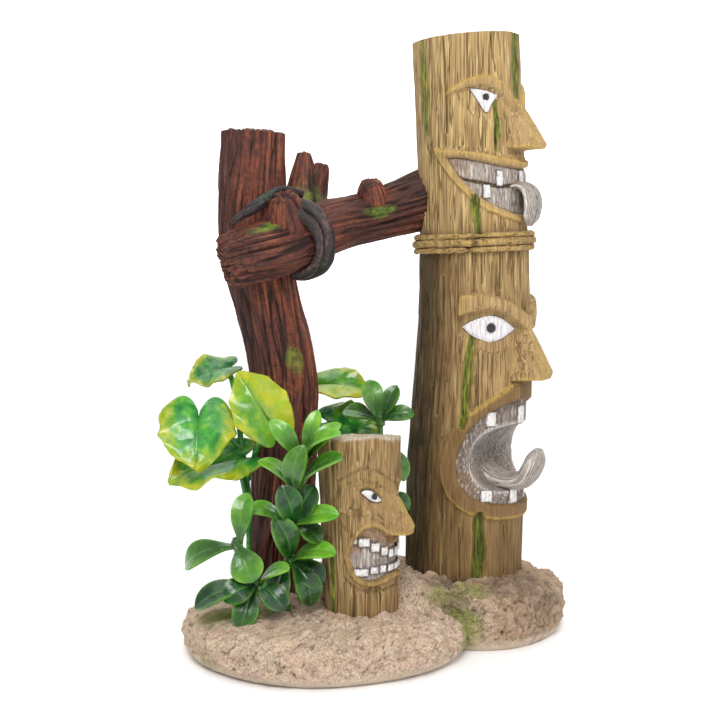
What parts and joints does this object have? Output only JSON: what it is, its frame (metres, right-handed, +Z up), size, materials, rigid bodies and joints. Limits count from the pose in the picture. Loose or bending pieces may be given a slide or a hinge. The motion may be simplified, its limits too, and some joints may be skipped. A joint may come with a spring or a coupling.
{
  "type": "tiki aquarium ornament",
  "caption": "Painted resin ornament: stacked tiki logs with carved faces and a smaller one, a driftwood arch tied with vine, and plug-in plastic plants on a sand base.",
  "frame": {"origin": "on the ground under the middle of the base", "axes": "+Z up; the carved faces of the logs look along -Y; +X is to the right of someone facing the carvings"},
  "size_m": [0.1289, 0.1163, 0.213],
  "materials": {
    "painted_wood_grain": "matt ochre paint dry-brushed over dark carved grain",
    "white_eye_paint": "satin white paint with black pupils",
    "grey_mouth_paint": "matt grey paint with white dry-brushed ridges and teeth",
    "driftwood": "satin red-brown bark paint",
    "vine": "satin charcoal paint",
    "sand": "coarse matt sand",
    "glossy_leaf": "glossy moulded leaf",
    "heart_leaf": "semi-gloss moulded leaf, green with yellow margins"
  },
  "bodies": {
    "ornament": {"sand_base": "sand", "totem_lower_log": "painted_wood_grain", "totem_upper_log": "painted_wood_grain", "small_tiki_log": "painted_wood_grain", "vine_hoop_top": "painted_wood_grain", "vine_hoop_middle": "painted_wood_grain", "vine_hoop_bottom": "painted_wood_grain", "lower_face_eye_left": "white_eye_paint", "lower_face_eye_right": "white_eye_paint", "upper_face_eye_left": "white_eye_paint", "upper_face_eye_right": "white_eye_paint", "small_tiki_eye_left": "white_eye_paint", "small_tiki_eye_right": "white_eye_paint", "lower_face_mouth": "grey_mouth_paint", "upper_face_upper_jaw": "grey_mouth_paint", "upper_face_lower_jaw": "grey_mouth_paint", "small_tiki_mouth": "grey_mouth_paint", "driftwood_post": "driftwood", "driftwood_beam": "driftwood", "vine_lashing_outer": "vine", "vine_lashing_inner": "vine", "vine_strap": "vine"},
    "front_sprig": {"front_sprig_stem": "glossy_leaf", "front_sprig_whorl_1": "glossy_leaf", "front_sprig_whorl_2": "glossy_leaf", "front_sprig_whorl_3": "glossy_leaf", "front_sprig_whorl_4": "glossy_leaf", "front_sprig_whorl_5": "glossy_leaf", "front_sprig_whorl_6": "glossy_leaf"},
    "rear_sprig": {"rear_sprig_stem": "glossy_leaf", "rear_sprig_whorl_1": "glossy_leaf", "rear_sprig_whorl_2": "glossy_leaf", "rear_sprig_whorl_3": "glossy_leaf"},
    "heart_vine": {"heart_vine_stem": "heart_leaf", "heart_vine_leaf_1": "heart_leaf", "heart_vine_leaf_2": "heart_leaf", "heart_vine_leaf_3": "heart_leaf", "heart_vine_leaf_4": "heart_leaf"},
    "rear_heart_vine": {"rear_heart_vine_stem": "heart_leaf", "rear_heart_vine_leaf_1": "heart_leaf", "rear_heart_vine_leaf_2": "heart_leaf"}
  },
  "joints": [
    {"name": "front_sprig_swivel", "type": "hinge", "parent": "ornament", "child": "front_sprig", "pos_m": [-0.0316, 0.0136, 0.008], "axis": [0, 0, 1], "range_deg": [-12, 4]},
    {"name": "rear_sprig_swivel", "type": "hinge", "parent": "ornament", "child": "rear_sprig", "pos_m": [0.0074, -0.0024, 0.008], "axis": [0, 0, 1], "range_deg": [-12, 12]},
    {"name": "heart_vine_swivel", "type": "hinge", "parent": "ornament", "child": "heart_vine", "pos_m": [-0.0228, 0.0342, 0.008], "axis": [0, 0, 1], "range_deg": [-10, 10]},
    {"name": "rear_heart_vine_swivel", "type": "hinge", "parent": "ornament", "child": "rear_heart_vine", "pos_m": [0.012, 0.0304, 0.008], "axis": [0, 0, 1], "range_deg": [-10, 10]}
  ]
}
